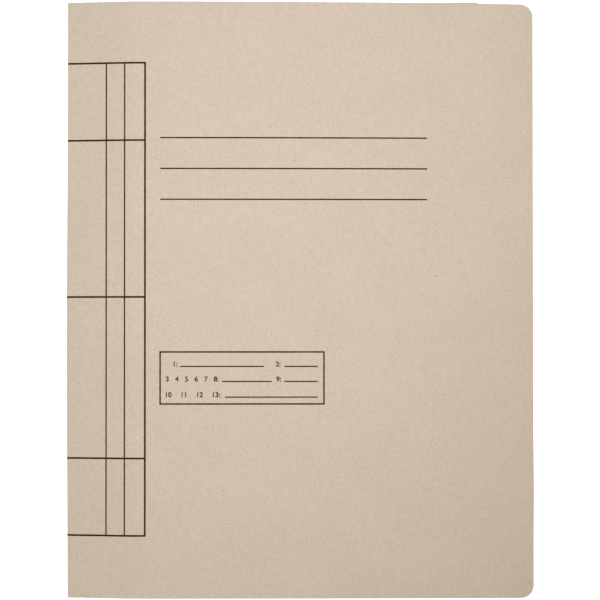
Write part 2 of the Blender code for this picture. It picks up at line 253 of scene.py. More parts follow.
class BentSheet:
    """A sheet of even thickness. u runs along its path, which bends, and across runs straight over it."""

    thickness = BOARD
    rounding = BOARD_ROUNDING
    creases = ()

    def panel(self, u, across):
        """The middle surface, with sharp creases."""
        raise NotImplementedError

    def edges(self, u):
        """Where the sheet begins and ends across its path."""
        raise NotImplementedError

    def middle(self, u, across):
        """The middle surface, with each crease rounded."""
        for crease, radius in self.creases:
            if abs(u - crease) < radius:
                near, corner, far = (self.panel(crease + step, across) for step in (-radius, 0, radius))
                part = (u - crease + radius) / (2 * radius)
                rest = 1 - part
                return near * rest**2 + corner * (2 * rest * part) + far * part**2
        return self.panel(u, across)

    def spot(self, u, across, lift):
        """The place that stands lift over the middle surface, towards the outer side."""
        step = NORMAL_STEP
        along = self.middle(u + step, across) - self.middle(u - step, across)
        beside = self.middle(u, across + step) - self.middle(u, across - step)
        return self.middle(u, across) + along.cross(beside).normalized() * lift

    def rim(self, half):
        """The rounded edge, as how far out and how high over the middle surface each step of it is."""
        upper = [
            (self.rounding * math.sin(turn), half - self.rounding * (1 - math.cos(turn)))
            for turn in RIM_ANGLES
        ]
        return upper + [(out, -height) for out, height in reversed(upper)]

    def ring(self, u, shares, half):
        """Points round the sheet at u, each with its place across the flat pattern.

        The pattern shows the outer face, then the inner one, shifted so that it lies beside the outer one.
        """
        low, high = self.edges(u)
        low += self.rounding
        high -= self.rounding
        face = [low + (high - low) * part for part in shares]
        rim = self.rim(half)
        shifted = INNER_FACE_SHIFT
        turn = [(across, half, across) for across in face]
        turn += [(high + out, height, high + half - height) for out, height in rim]
        turn += [(across, -half, shifted - across) for across in reversed(face)]
        turn += [(low - out, height, shifted - low + half + height) for out, height in reversed(rim)]
        return [(self.spot(u, across, lift), flat) for across, lift, flat in turn]


class BentStrip(BentSheet):
    """A sheet bent along a path of straight runs, with its own width, rounding and pressed shapes."""

    def __init__(self, corners, across, half_width, raised, thickness=TINPLATE, rounding=TIN_ROUNDING):
        self.places = [Vector(place) for place, _ in corners]
        self.across = Vector(across)
        self.half_width = half_width
        self.raised = raised
        self.thickness = thickness
        self.rounding = rounding
        self.marks = [0.0]
        for before, after in zip(self.places, self.places[1:]):
            self.marks.append(self.marks[-1] + (after - before).length)
        self.creases = [(mark, radius) for mark, (_, radius) in zip(self.marks, corners) if radius > 0]

    def panel(self, u, across):
        leg = sum(1 for mark in self.marks[1:-1] if u > mark)
        start, end = self.places[leg], self.places[leg + 1]
        place = start + (end - start).normalized() * (u - self.marks[leg]) + self.across * across
        place.z += self.raised(u, across)
        return place

    def edges(self, u):
        half = self.half_width(min(max(u, 0.0), self.marks[-1]))
        return -half, half


class FoldedBoard(BentSheet):
    """The folder's board, bent at its creases.

    u is the distance along the flat board from the spine's back crease. It is below 0 on the back cover, and
    above 0 on the spine, the margin and the front cover. Across is y, from the bottom edge to the top edge.
    """

    wave_fade = 0.02
    wave_seed = 3.7
    corner_drop_power = 6
    # The spine's arc is cut off flat at its middle, where two meshes of the board meet.
    flat_top = 0.9936

    def __init__(self, context):
        self.settings = context.scene.folder_board
        self.spine_height = COVER_CREASE.z - BACK_CREASE.z
        self.margin_reach = SOFT_CREASE - COVER_CREASE
        self.margin_slope = self.margin_reach.normalized()
        self.soft_crease = self.spine_height + self.margin_reach.length
        self.cover_width = FORE_X - SOFT_CREASE.x
        self.back_end = BACK_CREASE.x - FORE_X
        self.front_end = self.soft_crease + self.cover_width
        self.spine_seam = self.spine_height / 2
        self.margin_seam = self.spine_height + context.scene.folder_print.first_column
        self.creases = (
            (0.0, self.settings.crease_radius),
            (self.spine_height, self.settings.crease_radius),
            (self.soft_crease, self.settings.soft_crease_radius),
        )

    def bulge(self, y):
        """How far the spine's middle stands out at this height."""
        s = self.settings
        swelling = 1 - ease(abs(y - s.bulge_centre) / s.bulge_reach)
        return s.spine_bulge * swelling + s.spine_slant * (y / FRONT_HIGH.y - 0.5)

    def swell(self, u, y):
        """The slight waves of a large sheet of board, which start past the spine."""
        s = self.settings
        fade = min(1.0, max(0.0, (u - self.spine_height) / self.wave_fade))
        return s.wave * fade * noise.noise(Vector((u / s.wave_length, y / s.wave_length, self.wave_seed)))

    def bow(self, part):
        """Height of the front cover from the soft crease (0) to the fore edge (1)."""
        near = SOFT_CREASE.z + self.settings.bow_near_rise
        far = FORE_EDGE_Z + self.settings.bow_far_rise
        rest = 1 - part
        pulled = 3 * rest**2 * part * near + 3 * rest * part**2 * far
        return rest**3 * SOFT_CREASE.z + pulled + part**3 * FORE_EDGE_Z

    def drawn_in(self, part, y):
        """How far towards the spine a place is drawn. part goes from 0 by the spine to 1 by the fore edge."""
        s = self.settings
        swelling = 1 - ease(abs(y - s.fore_swell_centre) / s.fore_swell_reach)
        return part * (s.fore_slant * (0.5 + y / (2 * FRONT_HIGH.y)) - s.fore_swell * swelling)

    def panel(self, u, across):
        if u <= 0:
            x = BACK_CREASE.x - u - self.drawn_in(u / self.back_end, across)
            return Vector((x, across, BACK_CREASE.z))
        if u <= self.spine_height:
            part = u / self.spine_height
            arc = min(4 * part * (1 - part), self.flat_top)
            return Vector((BACK_CREASE.x - self.bulge(across) * arc, across, BACK_CREASE.z + u))
        if u <= self.soft_crease:
            place = COVER_CREASE + self.margin_slope * (u - self.spine_height)
            return Vector((place.x, across, place.z + self.swell(u, across)))
        part = (u - self.soft_crease) / self.cover_width
        x = SOFT_CREASE.x + part * self.cover_width - self.drawn_in(part, across)
        return Vector((x, across, self.bow(part) + self.swell(u, across)))

    def edges(self, u):
        s = self.settings
        if u <= 0:
            from_fore = max(0.0, u - self.back_end)
            half = FRONT_HIGH.y + s.back_reach * min(1.0, -u / s.taper)
            trimmed = s.trim * ease((s.trim_width + s.trim_slope / 2 - from_fore) / s.trim_slope)
            inset = corner_inset(from_fore, s.corner_radius)
            return -half + inset, half - trimmed - inset
        part = max(0.0, (u - self.soft_crease) / self.cover_width)
        inset = corner_inset(max(0.0, self.front_end - u), s.corner_radius)
        hang = s.sag * part**2
        drop = s.corner_drop * part**self.corner_drop_power
        return -FRONT_HIGH.y + inset - hang, FRONT_HIGH.y - inset - hang - drop

    def at_x(self, x):
        """The u of a place on the front cover or margin, given its x."""
        if x < SOFT_CREASE.x:
            return self.spine_height + (x - COVER_CREASE.x) / self.margin_slope.x
        return self.soft_crease + x - SOFT_CREASE.x


def ease(part):
    """Goes from 0 to 1 as part does, and starts and stops gently."""
    part = min(1.0, max(0.0, part))
    return part * part * (3 - 2 * part)


def corner_inset(from_edge, radius):
    """How far a rounded corner draws a side in, at this distance from the edge that it leads to."""
    reach = max(0.0, radius - from_edge)
    return radius - math.sqrt(radius**2 - reach**2)


def corner_places(radius, steps):
    """Distances from an edge at which a rounded corner is cut into steps, beginning on the edge."""
    return [radius * (1 - math.cos(math.pi / 2 * step / steps)) for step in range(steps + 1)]


def run(*stops):
    """Places from stop to stop. Each stop is a place and the number of steps to the next one."""
    found = []
    for (start, count), (end, _) in zip(stops, stops[1:]):
        found += [start + (end - start) * step / count for step in range(count)]
    return found + [stops[-1][0]]


def mirrored(half_run, whole):
    """A run of places from an end to the middle, followed by the same places on the way to the other end."""
    return half_run[:-1] + [whole - place for place in reversed(half_run)]


def column_shares(width, count):
    """Where columns lie across a sheet, closer together near both edges."""
    near = [distance / width for distance in EDGE_DISTANCES]
    between = run((near[-1], count), (1 - near[-1], 1))
    return near[:-1] + between + [1 - place for place in reversed(near[:-1])]


# Meshes


def tube_faces(rows, around, is_closed=False, first=0):
    """Faces between rows of points, each row a loop. A closed tube also joins its last row to its first."""
    faces = []
    for row in range(rows if is_closed else rows - 1):
        a, b = first + row * around, first + (row + 1) % rows * around
        for index in range(around):
            follow = (index + 1) % around
            faces.append((a + index, b + index, b + follow, a + follow))
    return faces


def end_steps(sheet, u, inward, is_free):
    """Stations and half thicknesses at one end of a sheet. A free end is rounded, any other is cut off."""
    half = sheet.thickness / 2
    if not is_free:
        return [(u, half)]
    radius = sheet.rounding
    steps = [
        (u + inward * radius * (1 - math.sin(turn)), half - radius * (1 - math.cos(turn)))
        for turn in reversed(RIM_ANGLES)
    ]
    return steps + [(u + inward * radius, half)]


def sheet_object(name, sheet, stations, shares, free_start=True, free_end=True):
    """A closed mesh of a bent sheet, with its flat pattern as a map.

    The mark cut_edge is 1 on cut edges, and edge_near is 1 by an edge and falls to 0 away from it.
    """
    full = sheet.thickness / 2
    start = end_steps(sheet, stations[0], 1, free_start)
    end = end_steps(sheet, stations[-1], -1, free_end)
    places = start + [(u, full) for u in stations[1:-1]] + end[::-1]
    rim = [None] * (2 * len(RIM_ANGLES))
    columns = [*shares, *rim, *reversed(shares), *rim]
    points, flats, cuts, nears = [], [], [], []
    for u, half in places:
        low, high = sheet.edges(u)
        from_start = u - stations[0] if free_start else FAR_AWAY
        from_end = stations[-1] - u if free_end else FAR_AWAY
        for part, (place, flat) in zip(columns, sheet.ring(u, shares, half)):
            on_rim = part is None
            from_side = 0.0 if on_rim else (high - low) * min(part, 1 - part)
            from_edge = max(0.0, min(from_side, from_start, from_end))
            points.append(place)
            flats.append((u, flat))
            cuts.append(1.0 if on_rim or half < full else 0.0)
            nears.append(math.exp(-from_edge / WEAR_REACH))
    around = len(columns)
    faces = tube_faces(len(places), around)
    corners = [pattern_corners(flats, face, (index + 1) % around == 0) for index, face in enumerate(faces)]
    for face in end_faces(len(shares), around, (len(places) - 1) * around):
        u, across = flats[face[0]]
        faces.append(face)
        corners.append([(u + points[index].z, across + points[index].y) for index in face])
    return mesh_object(name, points, faces, corners, {"cut_edge": cuts, "edge_near": nears})


def end_faces(count, around, last):
    """Faces that close a sheet's two ends. The first ring of points starts at 0, and the last one at last."""
    inner = around // 2
    opposite = [inner + count - 1 - index for index in range(count)]
    ladder = [(index, index + 1, opposite[index + 1], opposite[index]) for index in range(count - 1)]
    ladder.append(tuple(range(count - 1, inner + 1)))
    ladder.append((0, opposite[0], *range(inner + count, around)))
    return ladder + [tuple(last + index for index in reversed(face)) for face in ladder]


def pattern_corners(flats, face, closes_ring):
    """A face's corners on the flat pattern. Where it closes the ring, its last two lie past its first two."""
    found = [flats[index] for index in face]
    if closes_ring:
        found[2] = (found[2][0], found[1][1] + BOARD)
        found[3] = (found[3][0], found[0][1] + BOARD)
    return found


def mesh_object(name, points, faces, corners=None, marks=None):
    mesh = bpy.data.meshes.new(name)
    mesh.from_pydata([tuple(point) for point in points], [], faces)
    if corners:
        layer = mesh.uv_layers.new(name="flat_pattern")
        flat = [value for face in corners for place in face for value in place]
        layer.data.foreach_set("uv", flat)
    for title, values in (marks or {}).items():
        mesh.attributes.new(title, "FLOAT", "POINT").data.foreach_set("value", values)
    mesh.shade_smooth()
    mesh.set_sharp_from_angle(angle=SHARP_ANGLE)
    mesh.validate()
    made = bpy.data.objects.new(name, mesh)
    bpy.context.scene.collection.objects.link(made)
    return made


def cut(piece, cutter):
    """Takes the cutter's shape out of the piece for good."""
    tool = piece.modifiers.new("Cut", "BOOLEAN")
    tool.operation = "DIFFERENCE"
    tool.object = cutter
    bpy.context.view_layer.update()
    shape = piece.evaluated_get(bpy.context.evaluated_depsgraph_get())
    mesh = bpy.data.meshes.new_from_object(shape)
    piece.modifiers.remove(tool)
    old = piece.data
    piece.data = mesh
    mesh.name = old.name
    bpy.data.meshes.remove(old)
    mesh.set_sharp_from_angle(angle=SHARP_ANGLE)
    cutter_mesh = cutter.data
    bpy.data.objects.remove(cutter)
    bpy.data.meshes.remove(cutter_mesh)


def prism(name, outline, low, high):
    """A closed upright prism over an outline of (x, y) places, listed anticlockwise."""
    count = len(outline)
    points = [(x, y, z) for z in (high, low) for x, y in outline]
    roof, floor = tuple(range(count)), tuple(reversed(range(count, 2 * count)))
    return mesh_object(name, points, [roof, floor] + tube_faces(2, count))


def circle(centre, radius, steps=48):
    turns = [2 * math.pi * step / steps for step in range(steps)]
    return [(centre[0] + radius * math.cos(turn), centre[1] + radius * math.sin(turn)) for turn in turns]


def turned_points(profile, centre, steps):
    """A profile of (radius, height) places turned round an upright line, as a circle of points for each."""
    return [(x, y, height) for radius, height in profile for x, y in circle(centre, radius, steps)]


# Shader nodes


def feed(tree, node, inputs):
    """Gives a node's inputs, named or numbered, their values, or the sockets that feed them."""
    for name, value in inputs.items():
        if isinstance(value, bpy.types.NodeSocket):
            tree.links.new(value, node.inputs[name])
        else:
            node.inputs[name].default_value = value


def add(tree, kind, inputs, **settings):
    """Adds a node with its settings and inputs."""
    new = tree.nodes.new(kind)
    new.location = (NODE_SPACING * len(tree.nodes), 0)
    for name, value in settings.items():
        setattr(new, name, value)
    feed(tree, new, inputs)
    return new


def maths(tree, operation, *values, clamp=False):
    inputs = dict(enumerate(values))
    return add(tree, "ShaderNodeMath", inputs, operation=operation, use_clamp=clamp).outputs[0]


def vector_maths(tree, operation, *values):
    return add(tree, "ShaderNodeVectorMath", dict(enumerate(values)), operation=operation).outputs[0]


def remap(tree, value, low, high, to_low=0.0, to_high=1.0):
    inputs = {"Value": value, "From Min": low, "From Max": high, "To Min": to_low, "To Max": to_high}
    return add(tree, "ShaderNodeMapRange", inputs).outputs["Result"]


def mix_colour(tree, factor, first, second):
    return add(tree, "ShaderNodeMix", {0: factor, 6: first, 7: second}, data_type="RGBA").outputs[2]


def bump(tree, height, strength, distance):
    inputs = {"Height": height, "Strength": strength, "Distance": distance}
    return add(tree, "ShaderNodeBump", inputs).outputs[0]


def noise_node(tree, vector, scale, detail=2.0, roughness=0.5, dimensions="2D"):
    inputs = {"Vector": vector, "Scale": scale, "Detail": detail, "Roughness": roughness}
    return add(tree, "ShaderNodeTexNoise", inputs, noise_dimensions=dimensions).outputs


def cloud(tree, vector, size, **kind):
    """Noise from 0 to 1 with features of about this size in metres, which may come from a socket."""
    is_socket = isinstance(size, bpy.types.NodeSocket)
    scale = maths(tree, "DIVIDE", 1.0, size) if is_socket else 1 / size
    return noise_node(tree, vector, scale, **kind)[0]


def streaks(tree, vector, turn, long, wide):
    """Short lines in one direction, as noise stretched to this length and width."""
    rotation = (0.0, 0.0, math.radians(turn))
    inputs = {"Vector": vector, "Rotation": rotation, "Scale": (long, wide, wide)}
    stretched = add(tree, "ShaderNodeMapping", inputs, vector_type="TEXTURE").outputs[0]
    return cloud(tree, stretched, 1.0, detail=1.0)


def new_group(name, inputs, outputs):
    """An empty node group. It has a vector input, and its other inputs and its outputs are plain values."""
    group = bpy.data.node_groups.new(name, "ShaderNodeTree")
    group.interface.new_socket("Vector", in_out="INPUT", socket_type="NodeSocketVector")
    for direction, sockets in (("INPUT", inputs), ("OUTPUT", outputs)):
        for socket in sockets:
            group.interface.new_socket(socket, in_out=direction, socket_type="NodeSocketFloat")
    return group, add(group, "NodeGroupInput", {}).outputs


def finish_group(group, results):
    add(group, "NodeGroupOutput", results)
    return group


def place_group(tree, name, build, inputs):
    """Places a node group, which is built the first time that it is needed."""
    group = bpy.data.node_groups.get(name) or build(name)
    return add(tree, "ShaderNodeGroup", inputs, node_tree=group).outputs


def build_paper_fibres(name):
    """Recycled board: soft clouds, mottle, grain, fibres and flecks."""
    parts = ("Cloud", "Mottle", "Grain")
    inputs = [f"{part} {value}" for part in parts for value in ("Size", "Strength")]
    outputs = ["Tone", "Dark Flecks", "Light Flecks", "Height"]
    group, given = new_group(name, inputs + ["Fibre Length", "Fibre Strength"], outputs)
    vector = given["Vector"]
    clouds = cloud(group, vector, given["Cloud Size"], detail=3.0)
    mottle = cloud(group, vector, given["Mottle Size"], roughness=0.6)
    grain = cloud(group, vector, given["Grain Size"], detail=3.5, roughness=0.62)
    fibres = tangled_fibres(group, vector, given["Fibre Length"])
    tone = 0.5
    for layer, strength in ((clouds, "Cloud"), (mottle, "Mottle"), (grain, "Grain"), (fibres, "Fibre")):
        from_middle = maths(group, "SUBTRACT", layer, 0.5)
        tone = maths(group, "MULTIPLY_ADD", from_middle, given[f"{strength} Strength"], tone)
    height = maths(group, "MULTIPLY_ADD", fibres, 0.5, maths(group, "MULTIPLY", grain, 0.6))
    results = {
        "Tone": tone,
        "Dark Flecks": flecks(group, vector, spacing=0.012, radius=0.00020, rarity=0.78),
        "Light Flecks": flecks(group, vector, spacing=0.010, radius=0.00018, rarity=0.80),
        "Height": maths(group, "MULTIPLY_ADD", mottle, 0.5, height),
    }
    return finish_group(group, results)


def tangled_fibres(tree, vector, fibre_length):
    """Fibres in all directions: thin lines where noise, stretched four ways, crosses its middle value."""
    curl_scale, curl_reach, slenderness, width, core = 500.0, 0.0009, 7.0, 0.075, 0.03
    wander = noise_node(tree, vector, curl_scale, detail=1.0)["Color"]
    curl = vector_maths(tree, "MULTIPLY_ADD", wander, (curl_reach, curl_reach, 0.0), vector)
    fibres = 0.0
    for turn in (8, 51, 97, 143):
        inputs = {"Vector": curl, "Angle": math.radians(turn)}
        turned = add(tree, "ShaderNodeVectorRotate", inputs, rotation_type="Z_AXIS").outputs[0]
        stretched = vector_maths(tree, "MULTIPLY", turned, (1.0, slenderness, 1.0))
        across = maths(tree, "SUBTRACT", cloud(tree, stretched, fibre_length, detail=1.0), 0.5)
        line = remap(tree, maths(tree, "ABSOLUTE", across), width, core)
        fibres = maths(tree, "MAXIMUM", fibres, line)
    return fibres


def flecks(tree, vector, spacing, radius, rarity):
    """Small ragged specks, about one to each square of side spacing, and fewer as rarity comes near to 1."""
    raggedness, reach = 0.7 / radius, 3 * radius
    smallest, largest = 0.4 * radius / spacing, 1.6 * radius / spacing
    wobble = noise_node(tree, vector, raggedness)["Color"]
    shift = vector_maths(tree, "SUBTRACT", wobble, (0.5, 0.5, 0.5))
    moved = vector_maths(tree, "MULTIPLY_ADD", shift, (reach, reach, 0.0), vector)
    inputs = {"Vector": moved, "Scale": 1 / spacing}
    cells = add(tree, "ShaderNodeTexVoronoi", inputs, voronoi_dimensions="2D").outputs
    chance = add(tree, "ShaderNodeSeparateColor", {0: cells["Color"]}).outputs
    size = remap(tree, chance[1], 0.0, 1.0, smallest, largest)
    near = maths(tree, "LESS_THAN", cells["Distance"], size)
    return maths(tree, "MULTIPLY", near, maths(tree, "GREATER_THAN", chance[0], rarity))


def build_metal_brushing(name):
    """Rolled or plated metal: long faint streaks, a few deeper scratches and cloudy handling marks."""
    outputs = ["Tone", "Roughness Shift", "Height"]
    group, given = new_group(name, ["Streak Strength", "Scratch Strength"], outputs)
    vector = given["Vector"]
    fine = streaks(group, vector, turn=90, long=0.012, wide=0.00010)
    broad = streaks(group, vector, turn=90, long=0.020, wide=0.0006)
    crossing = [streaks(group, vector, turn=turn, long=0.006, wide=0.00012) for turn in (64, 101)]
    scratches = remap(group, maths(group, "MAXIMUM", *crossing), 0.72, 0.80)
    scratches = maths(group, "MULTIPLY", scratches, given["Scratch Strength"])
    smudge = cloud(group, vector, 0.009, detail=3.0, roughness=0.6, dimensions="3D")
    streak = maths(group, "MULTIPLY", maths(group, "ADD", fine, broad), 0.5)
    streak = maths(group, "MULTIPLY", maths(group, "SUBTRACT", streak, 0.5), given["Streak Strength"])
    tone = maths(group, "MULTIPLY_ADD", smudge, 0.25, maths(group, "ADD", streak, 0.38))
    rougher = maths(group, "MULTIPLY_ADD", smudge, 0.22, maths(group, "MULTIPLY", streak, 0.3))
    results = {
        "Tone": maths(group, "MULTIPLY_ADD", scratches, -0.25, tone),
        "Roughness Shift": maths(group, "MULTIPLY_ADD", scratches, 0.2, rougher),
        "Height": maths(group, "SUBTRACT", streak, scratches),
    }
    return finish_group(group, results)


def build_handling_wear(name):
    """Wear that is strongest by the edges and comes and goes along them."""
    group, given = new_group(name, ["Edge", "Patch Size", "Amount"], ["Mask"])
    patches = cloud(group, given["Vector"], given["Patch Size"], detail=3.0, roughness=0.65)
    by_edge = maths(group, "MULTIPLY", remap(group, patches, 0.42, 0.68), given["Edge"])
    return finish_group(group, {"Mask": maths(group, "MULTIPLY", by_edge, given["Amount"], clamp=True)})


# Materials


def shared_material(name, look, *values, **named):
    """The material of this name, which is built the first time that it is needed."""
    material = bpy.data.materials.get(name)
    if material is None:
        material = bpy.data.materials.new(name)
        material.use_nodes = True
        tree = material.node_tree
        feed(tree, tree.nodes["Principled BSDF"], look(tree, *values, **named))
    return material


def scaled(rgb, amount=1.0):
    """A colour made this much lighter or darker, as a node takes it."""
    return tuple(min(1.0, value * amount) for value in rgb) + (1.0,)


def mark(tree, name):
    """One of the mesh's marks, cut_edge or edge_near."""
    return add(tree, "ShaderNodeAttribute", {}, attribute_name=name).outputs["Fac"]


def object_place(tree):
    return add(tree, "ShaderNodeTexCoord", {}).outputs["Object"]


def board_look(tree, s):
    """The board's faces and cut edges. Like the looks below, it gives the shader's inputs."""
    place = add(tree, "ShaderNodeUVMap", {}, uv_map="flat_pattern").outputs[0]
    inputs = {
        "Vector": place,
        "Cloud Size": 0.028,
        "Cloud Strength": 0.35,
        "Mottle Size": 0.0034,
        "Mottle Strength": 0.58,
        "Grain Size": 0.0010,
        "Grain Strength": 1.95,
        "Fibre Length": 0.0035,
        "Fibre Strength": 0.4,
    }
    fibres = place_group(tree, "Paper Fibres", build_paper_fibres, inputs)
    inputs = {"Vector": place, "Edge": mark(tree, "edge_near"), "Patch Size": 0.012, "Amount": 0.5}
    wear = place_group(tree, "Handling Wear", build_handling_wear, inputs)["Mask"]
    spread, gloss_spread = 0.2 * s.mottle, 0.06
    dark, light = scaled(s.board_colour, 1 - spread), scaled(s.board_colour, 1 + spread)
    rough, smooth = s.roughness + gloss_spread, s.roughness - gloss_spread
    tone = mix_colour(tree, remap(tree, fibres["Tone"], 0.0, 1.0), dark, light)
    layers = (
        (fibres["Dark Flecks"], 0.6, scaled(s.dark_fleck)),
        (fibres["Light Flecks"], 0.4, scaled(s.light_fleck)),
        (wear, 0.25, scaled(s.cut_colour, 0.9)),
        (mark(tree, "cut_edge"), 1.0, scaled(s.cut_colour)),
    )
    for mask, strength, rgb in layers:
        tone = mix_colour(tree, maths(tree, "MULTIPLY", mask, strength), tone, rgb)
    return {
        "Base Color": tone,
        "Roughness": remap(tree, fibres["Tone"], 0.3, 0.8, rough, smooth),
        "Normal": bump(tree, fibres["Height"], strength=0.35, distance=0.00006),
        "Specular IOR Level": 0.3,
    }


def board_material(context):
    return shared_material("Manila board", board_look, context.scene.folder_board)


def ink_look(tree, s):
    """Brown ink that lies thinner where the board's fibres stand out."""
    inputs = {
        "Vector": object_place(tree),
        "Cloud Size": 0.020,
        "Cloud Strength": 0.3,
        "Mottle Size": 0.0016,
        "Mottle Strength": 0.5,
        "Grain Size": 0.00025,
        "Grain Strength": 0.5,
        "Fibre Length": 0.0035,
        "Fibre Strength": 0.1,
    }
    fibres = place_group(tree, "Paper Fibres", build_paper_fibres, inputs)
    dark, light = scaled(s.ink, 0.7), scaled(s.ink, 1.4)
    tone = mix_colour(tree, remap(tree, fibres["Tone"], 0.2, 0.8), dark, light)
    thin = maths(tree, "MULTIPLY", remap(tree, fibres["Tone"], 0.56, 0.72), 0.25)
    return {
        "Base Color": mix_colour(tree, thin, tone, scaled(s.ink, 6.0)),
        "Roughness": remap(tree, fibres["Tone"], 0.3, 0.8, 0.55, 0.75),
        "Normal": bump(tree, fibres["Height"], strength=0.3, distance=0.00004),
        "Specular IOR Level": 0.15,
    }


def metal_look(tree, rgb, roughness, streak, scratch):
    """Brushed metal of this colour, with handling marks."""
    inputs = {"Vector": object_place(tree), "Streak Strength": streak, "Scratch Strength": scratch}
    brushing = place_group(tree, "Metal Brushing", build_metal_brushing, inputs)
    return {
        "Base Color": mix_colour(tree, brushing["Tone"], scaled(rgb, 0.50), scaled(rgb, 0.95)),
        "Roughness": maths(tree, "ADD", brushing["Roughness Shift"], roughness - 0.08, clamp=True),
        "Normal": bump(tree, brushing["Height"], strength=0.25, distance=0.00002),
        "Metallic": 1.0,
    }


def plated_steel(context):
    steel = context.scene.folder_fastener.steel
    return shared_material("Plated steel", metal_look, steel, roughness=0.46, streak=0.6, scratch=0.8)


def floor_look(tree, s):
    """A plain floor that gives off some light."""
    return {
        "Base Color": scaled(s.floor_colour),
        "Roughness": 0.9,
        "Emission Color": scaled(s.glow_colour),
        "Emission Strength": s.floor_glow,
    }


def dress(piece, material, slot, body, *nodes):
    """Gives a piece its material and the body it rides on, and hides the CAD nodes that it stands for. The
    slot argument is not used.
    """
    piece.data.materials.append(material)
    if body:
        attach(piece, body)
    if nodes:
        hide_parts(*nodes)


# Board


def board_stations(board):
    """Stations of the back, margin and front parts of the board, closest at its creases and fore corners."""
    s = board.settings
    bend, near_crease, past_crease = s.crease_radius, 0.0011, 0.004
    soft_bend, past_soft_crease = s.soft_crease_radius, 0.0042
    by_seam = 0.08
    start, seam, top = board.back_end, board.spine_seam, board.spine_height
    soft, end = board.soft_crease, board.front_end
    trim_middle = start + s.trim_width
    corners = corner_places(s.corner_radius, CORNER_STEPS)
    back = [start + distance for distance in corners[:-1]]
    back += run(
        (start + s.corner_radius, 3),
        (trim_middle - s.trim_slope, 8),
        (trim_middle + s.trim_slope, 22),
        (-s.taper, 5),
        (-past_crease, 5),
        (-near_crease, 3),
        (-bend, 8),
        (bend, 2),
        (seam * (1 - by_seam), 1),
        (seam, 1),
    )
    margin = run(
        (seam, 1),
        (seam * (1 + by_seam), 2),
        (top - bend, 8),
        (top + bend, 3),
        (top + near_crease, 5),
        (top + past_crease, 8),
        (board.margin_seam, 1),
    )
    front = run(
        (board.margin_seam, 5),
        (soft - past_soft_crease, 3),
        (soft - soft_bend, 12),
        (soft + soft_bend, 3),
        (soft + past_soft_crease, 54),
        (end - s.corner_radius, 1),
    )
    return back, margin, front[:-1] + [end - distance for distance in reversed(corners)]


def fold_with_body(piece, fold):
    """Bakes the transform of a piece of the board, or of print on it, into its mesh, whichever of the three
    folds it lies by.
    """
    if fold == "spine_fold":
        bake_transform(piece)
    if fold == "cover_fold":
        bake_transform(piece)
    if fold == "soft_crease_fold":
        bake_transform(piece)


class FOLDER_OT_board(Operator):
    """Builds the creased board as three meshes that meet without a step."""

    bl_idname = "folder.board"
    bl_label = "Board"

    columns = 60

    def execute(self, context):
        board = FoldedBoard(context)
        shares = column_shares(2 * FRONT_HIGH.y, self.columns)
        back, margin, front = board_stations(board)
        material = board_material(context)
        pieces = (
            ("back_board", back, True, False, "spine_fold", ("back_cover",)),
            ("margin_board", margin, False, False, "cover_fold", ("spine", "cover_margin")),
            ("front_board", front, False, True, "soft_crease_fold", ("front_cover",)),
        )
        for name, stations, free_start, free_end, fold, nodes in pieces:
            piece = sheet_object(name, board, stations, shares, free_start, free_end)
            dress(piece, material, "manila_board", None, *nodes)
            fold_with_body(piece, fold)
        return {"FINISHED"}


# Print


class InkFilm:
    """Ink on the board's outer face, gathered into one mesh."""

    layer_step = 0.15
    sink = 0.25
    raggedness = 0.09
    ragged_pitch = 900
    ragged_seed = 1.3

    def __init__(self, context):
        self.settings = context.scene.folder_print
        self.board = FoldedBoard(context)
        self.film = self.settings.film
        self.base = BOARD / 2 - self.film * self.sink
        self.points = []
        self.faces = []

    def line(self, places, width, layer=0):
        """A line along places on the flat board. Lines that cross are on different layers, a little apart."""
        top = BOARD / 2 + self.film * (1 + self.layer_step * layer)
        first = len(self.points)
        side = (Vector(places[-1]) - Vector(places[0])).normalized().orthogonal() * width / 2
        for u, y in places:
            chance = noise.noise(Vector((u * self.ragged_pitch, y * self.ragged_pitch, self.ragged_seed)))
            reach = side * (1 + self.raggedness * chance)
            left, right = Vector((u, y)) + reach, Vector((u, y)) - reach
            for spot, lift in ((right, self.base), (right, top), (left, top), (left, self.base)):
                self.points.append(self.board.spot(spot.x, spot.y, lift))
        last = len(self.points) - 4
        self.faces += tube_faces(len(places), 4, first=first)
        self.faces += [tuple(range(first, first + 4)), tuple(reversed(range(last, last + 4)))]

    def shape(self, points, faces, u, y):
        """A flat shape, such as a number, set down at (u, y). It goes from 0 at its base to 1 at its top."""
        first = len(self.points)
        for x, across, up in points:
            lift = self.base + (BOARD / 2 + self.film - self.base) * up
            self.points.append(self.board.spot(u + x, y + across, lift))
        self.faces += [tuple(first + index for index in face) for face in faces]

    def make(self, name):
        piece = mesh_object(name, self.points, self.faces)
        piece.data.materials.append(shared_material("Printing ink", ink_look, self.settings))
        return piece


def along_u(low, high, y, stations):
    """Places on a line along u, with a place at each station of the board between its ends."""
    least = 0.0001
    between = [u for u in stations if low + least < u < high - least]
    return [(u, y) for u in [low, *between, high]]


def along_y(u, low, high):
    """Places on a line from the foot of the folder towards its top."""
    step = 0.0015
    count = max(2, round((high - low) / step))
    return [(u, y) for y in run((low, count), (high, 1))]


